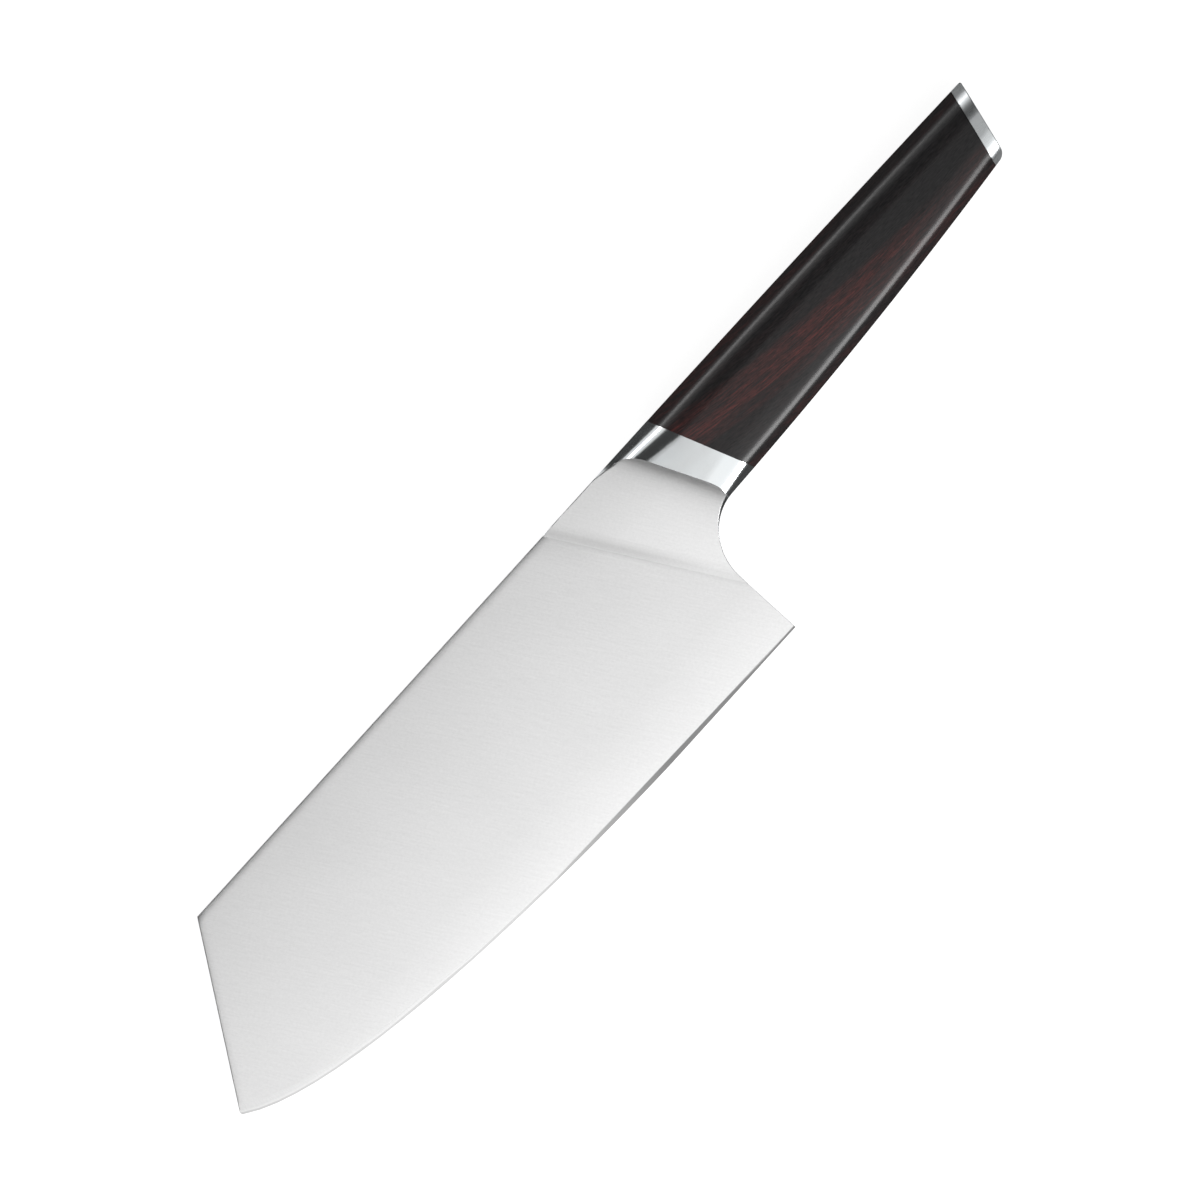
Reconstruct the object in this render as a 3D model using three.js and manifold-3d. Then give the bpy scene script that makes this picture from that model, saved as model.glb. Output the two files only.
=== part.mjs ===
// Nakiri knife: a ground steel blade with a hidden tang, a polished bolster, a dark wood handle block
// and a slanted steel end cap. Millimetres, +Z up. The knife lies on the broad side of its handle, with
// the handle toward +X and the spine toward +Y.
// Inside the root group x = 0 is at the heel, y = 0 at the spine and z = 0 in the blade's middle plane.
import * as THREE from 'three';
import { mergeVertices } from 'three/addons/utils/BufferGeometryUtils.js';
import Module from 'manifold-3d';

// Blade
const EDGE_LENGTH = 178;
const HEEL_HEIGHT = 60.2;
const SPINE_LENGTH = 149.5;
const TIP_DROP = 40;
const EDGE_FLAT = 42;
const EDGE_SWEEP = 12;
const TIP_SWEEP = 31;
const TIP_ANGLE = 37;
const TIP_ROUND = 1;
const SPINE_THICKNESS = 2.2;
const BEVEL_WIDTH = 0.6;
const BEVEL_THICKNESS = 0.3;
const EDGE_THICKNESS = 0.1;
const CHOIL_DEPTH = 14;
const CHOIL_RISE = 15;

// Tang
const TANG_HEIGHT = 13;
const TANG_END_HEIGHT = 9;
const TANG_THICKNESS = 2;
const TANG_LENGTH = 76;
const TANG_DROP = 11.5;
const STUD_DIAMETER = 4;

// Handle, seen from the broad side
const HANDLE_LENGTH = 111.8;
const HANDLE_THICKNESS = 18;
const JOINT_X = 12.8;
const JOINT_SLANT = 19.2;
const CAP_SLANT = -16.5;
const CAP_THICKNESS = 3.2;
const CAP_EDGE_BREAK = 0.2;
const CAP_SPINE_ROUND = 0.7;
const CAP_BELLY_ROUND = 1.7;
const SPINE_SAG = 0.9;
const BELLY_DROP = 27;
const BELLY_START_ANGLE = 1.1;
const BUTT_HEIGHT = 19.8;

// Handle section: a facet on each corner, then a rounded shoulder up to the flat broad face
const SPINE_FACET_WIDTH = 2.5;
const SPINE_FACET_DROP = 2;
const SPINE_SHOULDER_WIDTH = 6;
const SPINE_SHOULDER_DROP = 1.65;
const BELLY_FACET_WIDTH = 1.8;
const BELLY_FACET_DROP = 1.45;
const BELLY_SHOULDER_WIDTH = 5.5;
const BELLY_SHOULDER_DROP = 1.5;

// On the bolster the spine's corner and the belly's facet grow toward the wood over these lengths. A facet
// of the belly keeps at least a share of its width
const CORNER_GROWTH = 45;
const FACET_GROWTH = 19;
const FACET_LEAST_SHARE = 0.08;

// Bolster ramp, which rises from the blade's flank along the plunge line to the arris
const PLUNGE_X = -23.4;
const PLUNGE_SLANT = 29;
const ARRIS_SLANT = 22.8;
const RAMP_LENGTH = 21.35;
const RAMP_START_ANGLE = 15;
const RAMP_START_SWEEP = 11;
const RAMP_END_ANGLE = 57;
const RAMP_END_SWEEP = 3.5;
const RAMP_FEATHER = 0.1;

// Inside the handle
const BEDDING_WALL = 1.2;
const WASHER_DIAMETER = 9;
const WASHER_THICKNESS = 0.8;
const NUT_WIDTH = 7;
const NUT_HEIGHT = 3.2;
const NUT_DEPTH = 12;
const STUD_PAST_NUT = 1.5;
const PEG_DIAMETER = 2;
const PEG_LENGTH = 8;
const PEG_SOCKET_FLOOR = 1.1;
const PEG_SPACING = 13.8;

// Gaps between pieces that seat on each other, and around pieces that slide into a hole
const GLUE_GAP = 0.15;
const SLIP_GAP = 0.2;

// Steps along curves, and how far a cutter runs past what it cuts
const CURVE_STEPS = 24;
const SHOULDER_STEPS = 4;
const CORNER_STEPS = 6;
const ROUND_STEPS = 32;
const OVERRUN = 12;

const STEEL_GREY = 0xd9dadb;
const POLISHED_GREY = 0xc9cdd0;
const WOOD_BROWN = 0x2e2524;
const RESIN_AMBER = 0x8a6a3a;
const FASTENER_GREY = 0x9fa3a6;

// Sizes that follow from the ones above
const HALF_THICKNESS = HANDLE_THICKNESS / 2;
const TONGUE_RELIEF = RAMP_FEATHER + GLUE_GAP;
const BUTT_X = JOINT_X + HANDLE_LENGTH;
const CAP_X = BUTT_X - CAP_THICKNESS / cosine(CAP_SLANT);
const CHOIL_FOOT = BELLY_DROP + CHOIL_RISE;
const TANG_Y = -TANG_DROP;
const TANG_END_X = JOINT_X + TANG_LENGTH;
const POCKET_END_X = TANG_END_X + 2 * GLUE_GAP + BEDDING_WALL;
const NUT_SEAT_X = capJointX(TANG_Y) - NUT_DEPTH;
const NUT_X = NUT_SEAT_X + WASHER_THICKNESS + 2 * GLUE_GAP;
const STUD_END_X = NUT_X + NUT_HEIGHT + STUD_PAST_NUT;

const wasm = await Module();
wasm.setup();

// Angles in degrees
function cosine(angle) {
  return Math.cos(THREE.MathUtils.degToRad(angle));
}

function sine(angle) {
  return Math.sin(THREE.MathUtils.degToRad(angle));
}

function tangent(angle) {
  return Math.tan(THREE.MathUtils.degToRad(angle));
}

// Solids for cutting and joining
function toSolid(geometry) {
  const bare = geometry.clone();
  bare.deleteAttribute('normal');
  bare.deleteAttribute('uv');
  const merged = mergeVertices(bare, 1e-4);
  const mesh = new wasm.Mesh({
    numProp: 3,
    vertProperties: new Float32Array(merged.attributes.position.array),
    triVerts: new Uint32Array(merged.index.array),
  });
  return new wasm.Manifold(mesh);
}

function toGeometry(solid) {
  const mesh = solid.getMesh();
  const geometry = new THREE.BufferGeometry();
  geometry.setAttribute('position', new THREE.BufferAttribute(mesh.vertProperties, mesh.numProp));
  geometry.setIndex(new THREE.BufferAttribute(mesh.triVerts, 1));
  geometry.computeVertexNormals();
  return geometry;
}

// A plate of an outline in x and y, centred on z = 0
function plate(outline, thickness) {
  const options = { depth: thickness, bevelEnabled: false, curveSegments: CURVE_STEPS };
  const geometry = new THREE.ExtrudeGeometry(outline, options);
  geometry.translate(0, 0, -thickness / 2);
  return toSolid(geometry);
}

function polygon(points) {
  return new THREE.Shape(points.map(([x, y]) => new THREE.Vector2(x, y)));
}

// A round bar along x
function bar(diameter, fromX, toX, y, steps = ROUND_STEPS) {
  const geometry = new THREE.CylinderGeometry(diameter / 2, diameter / 2, toX - fromX, steps);
  geometry.rotateZ(Math.PI / 2);
  geometry.translate((fromX + toX) / 2, y, 0);
  return toSolid(geometry);
}

// A closed skin over rings that all have the same number of points
function loft(rings) {
  const count = rings[0].length;
  const positions = rings.flat().flatMap((point) => point.toArray());
  const last = (rings.length - 1) * count;
  const faces = [];
  for (let ring = 0; ring < last; ring += count) {
    for (let i = 0; i < count; i += 1) {
      const next = (i + 1) % count;
      faces.push(ring + i, ring + next, ring + count + i);
      faces.push(ring + next, ring + count + next, ring + count + i);
    }
  }
  for (let i = 1; i < count - 1; i += 1) {
    faces.push(0, i + 1, i);
    faces.push(last, last + i, last + i + 1);
  }
  const geometry = new THREE.BufferGeometry();
  geometry.setAttribute('position', new THREE.Float32BufferAttribute(positions, 3));
  geometry.setIndex(faces);
  return toSolid(geometry);
}

// The handle's outline: the spine sags toward the butt and the belly rises to it
function spineY(x) {
  const along = Math.max(0, x - JOINT_X) / HANDLE_LENGTH;
  return -SPINE_SAG * along * along;
}

function bellyY(x) {
  const run = x - CHOIL_DEPTH;
  const fullRun = BUTT_X - BUTT_HEIGHT * tangent(-CAP_SLANT) - CHOIL_DEPTH;
  const startRise = tangent(BELLY_START_ANGLE);
  const fullRise = BELLY_DROP - SPINE_SAG - BUTT_HEIGHT;
  const bow = (fullRise - startRise * fullRun) / (fullRun * fullRun);
  return -BELLY_DROP + startRise * run + bow * run * run;
}

function jointX(y) {
  return JOINT_X - y * tangent(JOINT_SLANT);
}

function capJointX(y) {
  return CAP_X + (spineY(CAP_X) - y) * tangent(CAP_SLANT);
}

// The two ends, on spine and belly, of a slanted line across the handle
function slantedLine(spineX, slant) {
  const spine = new THREE.Vector2(spineX, spineY(spineX));
  const belly = new THREE.Vector2(spineX, bellyY(spineX));
  for (let turn = 0; turn < 6; turn += 1) {
    belly.x = spine.x + (spine.y - belly.y) * tangent(slant);
    belly.y = bellyY(belly.x);
  }
  return { spine, belly };
}

// One ring of the handle's section, standing on a line from spine to belly. A share below 1 shrinks a facet
// or the spine's shoulder
function sectionRing({ spine, belly }, options = {}) {
  const { halfThickness = HALF_THICKNESS, spineFacet = 1, spineShoulder = 1, bellyFacet = 1 } = options;
  const height = spine.y - belly.y;
  const spineWidth = SPINE_SHOULDER_WIDTH * spineShoulder;
  const spineDrop = SPINE_SHOULDER_DROP * spineShoulder;
  const flatStart = SPINE_FACET_WIDTH * spineFacet + spineWidth;
  const flatEnd = height - BELLY_FACET_WIDTH * bellyFacet - BELLY_SHOULDER_WIDTH;
  const spineArc = shoulder(spineWidth, spineDrop).reverse();
  const bellyArc = shoulder(BELLY_SHOULDER_WIDTH, BELLY_SHOULDER_DROP);
  const half = [
    [0, halfThickness - spineDrop - SPINE_FACET_DROP * spineFacet],
    ...spineArc.map(([run, drop]) => [flatStart - run, halfThickness - drop]),
    ...bellyArc.map(([run, drop]) => [flatEnd + run, halfThickness - drop]),
    [height, halfThickness - BELLY_SHOULDER_DROP - BELLY_FACET_DROP * bellyFacet],
  ];
  const lean = (belly.x - spine.x) / height;
  const place = ([across, z]) => new THREE.Vector3(spine.x + lean * across, spine.y - across, z);
  const under = half.map(([across, z]) => [across, -z]).reverse();
  return [...half, ...under].map(place);
}

// Points of an arc that starts level and has fallen by drop at its end, each as its run and its fall
function shoulder(width, drop) {
  const radius = (width * width + drop * drop) / (2 * drop);
  const turn = Math.asin(width / radius);
  const points = [];
  for (let step = 0; step <= SHOULDER_STEPS; step += 1) {
    const angle = turn * step / SHOULDER_STEPS;
    points.push([radius * Math.sin(angle), radius * (1 - Math.cos(angle))]);
  }
  return points;
}

// Half the blade's thickness at a height y, on its flat-ground flanks
function flank(y) {
  const slope = (SPINE_THICKNESS - BEVEL_THICKNESS) / 2 / (HEEL_HEIGHT - BEVEL_WIDTH);
  return SPINE_THICKNESS / 2 + slope * y;
}

// The wedge between the two flanks, grown by a gap, down to a foot below the spine
function grindWedge(gap, footDrop) {
  const top = OVERRUN;
  const foot = -footDrop;
  const section = polygon([
    [top, -flank(top) - gap],
    [top, flank(top) + gap],
    [foot, flank(foot) + gap],
    [foot, -flank(foot) - gap],
  ]);
  const length = EDGE_LENGTH + BUTT_X + 2 * OVERRUN;
  const geometry = new THREE.ExtrudeGeometry(section, { depth: length, bevelEnabled: false });
  const acrossBlade = new THREE.Matrix4().makeBasis(
    new THREE.Vector3(0, 1, 0),
    new THREE.Vector3(0, 0, 1),
    new THREE.Vector3(1, 0, 0),
  );
  geometry.applyMatrix4(acrossBlade);
  geometry.translate(-EDGE_LENGTH - OVERRUN, 0, 0);
  return toSolid(geometry);
}

// The cutting edge, straight at the heel and rising to the tip, up to where the tip's rounding starts
const tip = new THREE.Vector2(-EDGE_LENGTH, -TIP_DROP);
const spineCorner = new THREE.Vector2(-SPINE_LENGTH, 0);

function alongEdgeFromTip(distance) {
  return [tip.x + distance * cosine(TIP_ANGLE), tip.y - distance * sine(TIP_ANGLE)];
}

function sweepEdge(outline) {
  outline.lineTo(-EDGE_FLAT, -HEEL_HEIGHT);
  outline.bezierCurveTo(
    -EDGE_FLAT - EDGE_SWEEP,
    -HEEL_HEIGHT,
    ...alongEdgeFromTip(TIP_SWEEP),
    ...alongEdgeFromTip(TIP_ROUND),
  );
}

// The blade's shoulder runs up from the top of the choil, alongside the wood's front face
function shoulderX(y) {
  return CHOIL_DEPTH - (y + BELLY_DROP) * tangent(JOINT_SLANT);
}

function bladeOutline() {
  const outline = new THREE.Shape();
  outline.moveTo(0, -HEEL_HEIGHT);
  sweepEdge(outline);
  const frontStart = spineCorner.clone().sub(tip).setLength(TIP_ROUND).add(tip);
  outline.quadraticCurveTo(tip.x, tip.y, frontStart.x, frontStart.y);
  outline.lineTo(spineCorner.x, spineCorner.y);
  outline.lineTo(shoulderX(0), 0);
  outline.lineTo(shoulderX(-BELLY_DROP), -BELLY_DROP);
  outline.absellipse(CHOIL_DEPTH, -CHOIL_FOOT, CHOIL_DEPTH, CHOIL_RISE, Math.PI / 2, Math.PI);
  return outline;
}

// All that lies inside the two bevels of the cutting edge
function edgeBevels() {
  const steepness = (BEVEL_THICKNESS - EDGE_THICKNESS) / 2 / BEVEL_WIDTH;
  const reach = SPINE_THICKNESS / 2 / steepness;
  const margin = reach + OVERRUN;
  const outline = new THREE.Shape();
  outline.moveTo(CHOIL_DEPTH + margin, -HEEL_HEIGHT);
  sweepEdge(outline);
  outline.lineTo(...alongEdgeFromTip(-margin));
  outline.lineTo(tip.x - margin, margin);
  outline.lineTo(CHOIL_DEPTH + margin, margin);
  const geometry = new THREE.ExtrudeGeometry(outline, {
    depth: EDGE_THICKNESS,
    bevelThickness: SPINE_THICKNESS / 2,
    bevelSize: reach,
    bevelOffset: -reach,
    bevelSegments: 1,
    curveSegments: CURVE_STEPS,
  });
  geometry.translate(0, 0, -EDGE_THICKNESS / 2);
  return toSolid(geometry);
}

// The tang's outline, grown by a gap on every side
function tangOutline(gap) {
  const front = shoulderX(0);
  const end = TANG_END_X + gap;
  const startHalf = TANG_HEIGHT / 2 + gap;
  const endHalf = TANG_END_HEIGHT / 2 + gap;
  return polygon([
    [front, TANG_Y - startHalf],
    [JOINT_X, TANG_Y - startHalf],
    [end, TANG_Y - endHalf],
    [end, TANG_Y + endHalf],
    [JOINT_X, TANG_Y + startHalf],
    [front, TANG_Y + startHalf],
  ]);
}

function plungeX(y) {
  return PLUNGE_X - y * tangent(PLUNGE_SLANT);
}

// Behind the plunge line the blade is a thinner tongue, so that the ramps start flush with its flanks
function tongueWedge(gap) {
  return grindWedge(gap - TONGUE_RELIEF, CHOIL_FOOT + BEVEL_WIDTH);
}

function tongueRelief() {
  const top = OVERRUN;
  const foot = -HEEL_HEIGHT;
  const back = CHOIL_DEPTH + OVERRUN;
  const outline = polygon([[plungeX(foot), foot], [back, foot], [back, top], [plungeX(top), top]]);
  return plate(outline, HANDLE_THICKNESS).subtract(tongueWedge(0));
}

function makeBlade() {
  const ground = plate(bladeOutline(), SPINE_THICKNESS)
    .intersect(grindWedge(0, HEEL_HEIGHT))
    .intersect(edgeBevels())
    .subtract(tongueRelief());
  const tang = plate(tangOutline(0), TANG_THICKNESS);
  const stud = bar(STUD_DIAMETER, TANG_END_X - STUD_DIAMETER, STUD_END_X, TANG_Y);
  return ground.add(tang).add(stud);
}

// The bolster's rings fan from the plunge line, round the choil, to the joint with the wood
function bolsterRings() {
  const joint = slantedLine(JOINT_X - GLUE_GAP, JOINT_SLANT);
  const bellyEnds = [
    new THREE.Vector2(0, -CHOIL_FOOT - OVERRUN),
    ...new THREE.EllipseCurve(CHOIL_DEPTH, -CHOIL_FOOT, CHOIL_DEPTH, CHOIL_RISE, Math.PI, Math.PI / 2, true)
      .getPoints(CURVE_STEPS),
    joint.belly,
  ];
  const fan = bellyEnds.length - 1;
  return bellyEnds.map((belly, index) => {
    if (belly === joint.belly) {
      return sectionRing(joint);
    }
    const slant = THREE.MathUtils.lerp(PLUNGE_SLANT, JOINT_SLANT, index / fan);
    const spine = new THREE.Vector2(belly.x + belly.y * tangent(slant), 0);
    const corner = 1 - (joint.spine.x - spine.x) / CORNER_GROWTH;
    const bellyFacet = Math.max(FACET_LEAST_SHARE, 1 - (joint.belly.x - belly.x) / FACET_GROWTH);
    return sectionRing({ spine, belly }, { spineFacet: corner, spineShoulder: corner, bellyFacet });
  });
}

// A line along the ramp turns from the plunge line's slant to the arris's as its run grows
function rampX(run, y) {
  const turn = (tangent(PLUNGE_SLANT) - tangent(ARRIS_SLANT)) / RAMP_LENGTH;
  return plungeX(y) + run * (1 / cosine(PLUNGE_SLANT) + turn * (y + BELLY_DROP / 2));
}

// All that lies under the two ramps, which rise from the flanks along the plunge line
function rampKeep() {
  const top = HALF_THICKNESS - flank(-BELLY_DROP / 2);
  const end = JOINT_X - PLUNGE_X + BELLY_DROP;
  const profile = new THREE.Shape();
  profile.moveTo(GLUE_GAP, 0);
  profile.bezierCurveTo(
    RAMP_START_SWEEP * cosine(RAMP_START_ANGLE),
    RAMP_START_SWEEP * sine(RAMP_START_ANGLE),
    RAMP_LENGTH - RAMP_END_SWEEP * cosine(RAMP_END_ANGLE),
    top - RAMP_END_SWEEP * sine(RAMP_END_ANGLE),
    RAMP_LENGTH,
    top,
  );
  profile.lineTo(RAMP_LENGTH + OVERRUN * cosine(RAMP_END_ANGLE), top + OVERRUN * sine(RAMP_END_ANGLE));
  profile.lineTo(end, top + OVERRUN * sine(RAMP_END_ANGLE));
  profile.lineTo(end, -HANDLE_THICKNESS);
  profile.lineTo(GLUE_GAP, -HANDLE_THICKNESS);
  const length = 2 * (HEEL_HEIGHT + OVERRUN);
  const options = { depth: length, bevelEnabled: false, curveSegments: CURVE_STEPS };
  const geometry = new THREE.ExtrudeGeometry(profile, options);
  geometry.translate(0, 0, -length / 2);
  const position = geometry.attributes.position;
  for (let i = 0; i < position.count; i += 1) {
    const y = -position.getZ(i);
    position.setXYZ(i, rampX(position.getX(i), y), y, position.getY(i) + flank(y));
  }
  const upper = toSolid(geometry);
  return upper.intersect(upper.mirror([0, 0, 1]));
}

// The slot that the blade's rear seats in, open at the spine and the choil
function bladeSlot() {
  const front = PLUNGE_X - HEEL_HEIGHT;
  const top = OVERRUN;
  const foot = -HEEL_HEIGHT;
  const outline = polygon([
    [front, foot],
    [shoulderX(foot) + GLUE_GAP, foot],
    [shoulderX(top) + GLUE_GAP, top],
    [front, top],
  ]);
  return plate(outline, HANDLE_THICKNESS).intersect(tongueWedge(GLUE_GAP));
}

function makeBolster() {
  const tangHole = plate(tangOutline(GLUE_GAP), TANG_THICKNESS + 2 * GLUE_GAP);
  return loft(bolsterRings()).intersect(rampKeep()).subtract(bladeSlot()).subtract(tangHole);
}

// The pocket for tang and bedding, from the joint's slanted face, shrunk by a gap
function pocketOutline(gap, frontGap) {
  const half = TANG_HEIGHT / 2 + 2 * GLUE_GAP + BEDDING_WALL - gap;
  const front = (y) => jointX(y) + frontGap;
  return polygon([
    [front(TANG_Y - half), TANG_Y - half],
    [POCKET_END_X + GLUE_GAP - gap, TANG_Y - half],
    [POCKET_END_X + GLUE_GAP - gap, TANG_Y + half],
    [front(TANG_Y + half), TANG_Y + half],
  ]);
}

const pocketWidth = TANG_THICKNESS + 2 * (2 * GLUE_GAP + BEDDING_WALL);

function studBore(fromX, toX) {
  return bar(STUD_DIAMETER + 2 * SLIP_GAP, fromX, toX, TANG_Y);
}

function makeBedding() {
  const fill = plate(pocketOutline(GLUE_GAP, GLUE_GAP), pocketWidth - 2 * GLUE_GAP);
  const tangHole = plate(tangOutline(GLUE_GAP), TANG_THICKNESS + 2 * GLUE_GAP);
  const studHole = studBore(TANG_END_X - STUD_DIAMETER, POCKET_END_X + OVERRUN);
  return fill.subtract(tangHole).subtract(studHole);
}

// The two pegs stand above and below the tang's nut
const pegs = ['upper', 'lower'].map((name, index) => {
  const y = TANG_Y + PEG_SPACING * (0.5 - index);
  const end = capJointX(y) + BUTT_X - CAP_X - PEG_SOCKET_FLOOR - SLIP_GAP;
  return { name: `cap_peg_${name}`, y, end, start: end - PEG_LENGTH };
});

function pegHoles() {
  const holes = pegs.map(({ y, start, end }) =>
    bar(PEG_DIAMETER + 2 * SLIP_GAP, start - SLIP_GAP, end + SLIP_GAP, y));
  return holes[0].add(holes[1]);
}

function makeHandleBlock() {
  const front = slantedLine(JOINT_X, JOINT_SLANT);
  const back = slantedLine(CAP_X - GLUE_GAP, CAP_SLANT);
  const rings = [];
  for (let step = 0; step <= CURVE_STEPS; step += 1) {
    const along = step / CURVE_STEPS;
    const spineX = THREE.MathUtils.lerp(front.spine.x, back.spine.x, along);
    const bellyX = THREE.MathUtils.lerp(front.belly.x, back.belly.x, along);
    const spine = new THREE.Vector2(spineX, spineY(spineX));
    const belly = new THREE.Vector2(bellyX, bellyY(bellyX));
    rings.push(sectionRing({ spine, belly }));
  }
  const pocket = plate(pocketOutline(0, -OVERRUN), pocketWidth);
  const studHole = studBore(TANG_END_X, NUT_SEAT_X + OVERRUN);
  const nutWell = bar(WASHER_DIAMETER + 2 * SLIP_GAP, NUT_SEAT_X, BUTT_X + OVERRUN, TANG_Y);
  return loft(rings).subtract(pocket).subtract(studHole).subtract(nutWell).subtract(pegHoles());
}

function makeWasher() {
  const start = NUT_SEAT_X + GLUE_GAP;
  const disc = bar(WASHER_DIAMETER, start, start + WASHER_THICKNESS, TANG_Y);
  return disc.subtract(studBore(start - OVERRUN, start + OVERRUN));
}

function makeNut() {
  const acrossCorners = NUT_WIDTH / cosine(30);
  const hex = bar(acrossCorners, NUT_X, NUT_X + NUT_HEIGHT, TANG_Y, 6);
  return hex.subtract(studBore(NUT_X - OVERRUN, NUT_X + OVERRUN));
}

// How far a rounded corner has drawn in at a depth behind the cap's face
function cornerInset(radius, depth) {
  const run = Math.max(0, radius - depth);
  return radius - Math.sqrt(radius * radius - run * run);
}

// A ring of the cap at a depth behind its face, where the rounded corners cut into the facets
function capRing(depth) {
  const { spine, belly } = slantedLine(BUTT_X - depth / cosine(CAP_SLANT), CAP_SLANT);
  const height = spine.y - belly.y;
  const spineInset = cornerInset(CAP_SPINE_ROUND, depth);
  const bellyInset = cornerInset(CAP_BELLY_ROUND, depth);
  const line = {
    spine: spine.clone().lerp(belly, spineInset / height),
    belly: belly.clone().lerp(spine, bellyInset / height),
  };
  return sectionRing(line, {
    halfThickness: HALF_THICKNESS - cornerInset(CAP_EDGE_BREAK, depth),
    spineFacet: 1 - spineInset / SPINE_FACET_WIDTH,
    bellyFacet: Math.max(FACET_LEAST_SHARE, 1 - bellyInset / BELLY_FACET_WIDTH),
  });
}

// The cap's outer edge is broken all round, and rounded at its spine and belly corners
function makeEndCap() {
  const rings = [sectionRing(slantedLine(CAP_X, CAP_SLANT))];
  for (let step = 0; step <= CORNER_STEPS; step += 1) {
    rings.push(capRing(CAP_BELLY_ROUND * (1 - sine(90 * step / CORNER_STEPS))));
  }
  return loft(rings).subtract(pegHoles());
}

function makePeg({ y, start, end }) {
  return bar(PEG_DIAMETER, start, end, y);
}

function finish(color, roughness, metalness) {
  return new THREE.MeshStandardMaterial({ color, roughness, metalness });
}

function addPiece(group, name, solid, material) {
  const mesh = new THREE.Mesh(toGeometry(solid), material);
  mesh.name = name;
  group.add(mesh);
}

const knife = new THREE.Group();
const handle = new THREE.Group();
knife.add(handle);
addPiece(knife, 'blade', makeBlade(), finish(STEEL_GREY, 0.4, 1));
addPiece(handle, 'bolster', makeBolster(), finish(POLISHED_GREY, 0.1, 1));
addPiece(handle, 'handle_block', makeHandleBlock(), finish(WOOD_BROWN, 0.35, 0));
addPiece(handle, 'tang_bedding', makeBedding(), finish(RESIN_AMBER, 0.3, 0));
addPiece(handle, 'tang_washer', makeWasher(), finish(FASTENER_GREY, 0.35, 1));
addPiece(handle, 'tang_nut', makeNut(), finish(FASTENER_GREY, 0.35, 1));
addPiece(handle, 'end_cap', makeEndCap(), finish(POLISHED_GREY, 0.1, 1));
pegs.forEach((peg) => addPiece(handle, peg.name, makePeg(peg), finish(FASTENER_GREY, 0.35, 1)));

// The origin is under the middle of the knife, on the surface that it lies on
const box = new THREE.Box3().setFromObject(knife);
knife.position.set(-(box.min.x + box.max.x) / 2, -(box.min.y + box.max.y) / 2, -box.min.z);

export default knife;
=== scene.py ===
"""Nakiri knife: the finish of each piece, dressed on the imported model. Metres, +Z up.

Sizes are in millimetres, from the heel along the blade (x), the spine (y) and the blade's middle plane (z).
"""

import math

import bmesh
import bpy
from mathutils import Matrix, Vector


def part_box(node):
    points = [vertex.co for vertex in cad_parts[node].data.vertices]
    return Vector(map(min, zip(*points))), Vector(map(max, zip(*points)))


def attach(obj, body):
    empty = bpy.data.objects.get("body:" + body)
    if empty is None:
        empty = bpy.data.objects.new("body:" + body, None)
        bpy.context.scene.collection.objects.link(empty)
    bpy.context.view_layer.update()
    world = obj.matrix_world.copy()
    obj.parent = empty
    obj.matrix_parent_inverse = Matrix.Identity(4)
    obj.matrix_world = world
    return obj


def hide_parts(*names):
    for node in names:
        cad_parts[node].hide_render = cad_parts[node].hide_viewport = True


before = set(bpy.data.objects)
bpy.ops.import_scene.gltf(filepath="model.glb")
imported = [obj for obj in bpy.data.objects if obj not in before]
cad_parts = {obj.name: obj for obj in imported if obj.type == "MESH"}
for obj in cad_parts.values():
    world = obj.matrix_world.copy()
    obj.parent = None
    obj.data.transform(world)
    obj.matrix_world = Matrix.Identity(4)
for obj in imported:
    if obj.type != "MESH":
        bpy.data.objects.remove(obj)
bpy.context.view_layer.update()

MM = 0.001

# Blade
EDGE_LENGTH = 178
HEEL_HEIGHT = 60.2
SPINE_LENGTH = 149.5
TIP_DROP = 40
SPINE_THICKNESS = 2.2
BEVEL_WIDTH = 0.6
BEVEL_THICKNESS = 0.3
CHOIL_DEPTH = 14
CHOIL_RISE = 15
SPINE_EASE = 0.2
HEEL_EASE = 0.12

# Toward spine and front the blade thins by a soft curve: width, and share of the thickness at the border
SPINE_THINNING = (1.9, 0.075)
FRONT_THINNING = (1.6, 0.05)
THINNING_STEPS = 4

# Handle, seen from the broad side
HANDLE_LENGTH = 111.8
HANDLE_THICKNESS = 18
JOINT_X = 12.8
JOINT_SLANT = 19.2
CAP_SLANT = -16.5
CAP_THICKNESS = 3.2
CAP_EDGE_BREAK = 0.2
CAP_SPINE_ROUND = 0.7
CAP_BELLY_ROUND = 1.7
SPINE_SAG = 0.9
BELLY_DROP = 27
BELLY_START_ANGLE = 1.1
BUTT_HEIGHT = 19.8
GLUE_GAP = 0.15
SEAM = 0.04

# Handle section: facet width and drop, then the rounded shoulder's width and drop. The arrises between
# them are eased, on spine and belly
SPINE_CORNER = (2.5, 2, 6, 1.65)
BELLY_CORNER = (1.8, 1.45, 5.5, 1.5)
STEEL_EASES = (0.9, 0.4)
WOOD_EASES = (0.5, 0.5)

# On the bolster the spine's corner and the belly's facet grow toward the wood over these lengths. A facet
# of the belly keeps at least a share of its width
CORNER_GROWTH = 45
FACET_GROWTH = 19
FACET_LEAST_SHARE = 0.08

# Bolster ramp
PLUNGE_X = -23.4
PLUNGE_SLANT = 29
PLUNGE_FILLET = 2.6
ARRIS_SLANT = 22.8
RAMP_LENGTH = 21.35
RAMP_START_ANGLE = 15
RAMP_START_SWEEP = 11
RAMP_END_ANGLE = 57
RAMP_END_SWEEP = 3.5

# Polished rims of the ramps, which slope down outward: the spine's has a least width, and it grows with
# the distance behind its start. The belly's is as wide as the facet there
SPINE_RIM_WIDTH = 0.12
SPINE_RIM_START = -7
SPINE_RIM_GROWTH = 0.2
RIM_SLOPE = 0.6

# Lines across the bolster fan out in these steps: the first runs up to the choil from a little below it,
# the last joins the choil to the wood, and the rest go round the choil
BOLSTER_FAN = 26
HEEL_OVERRUN = 12

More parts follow.
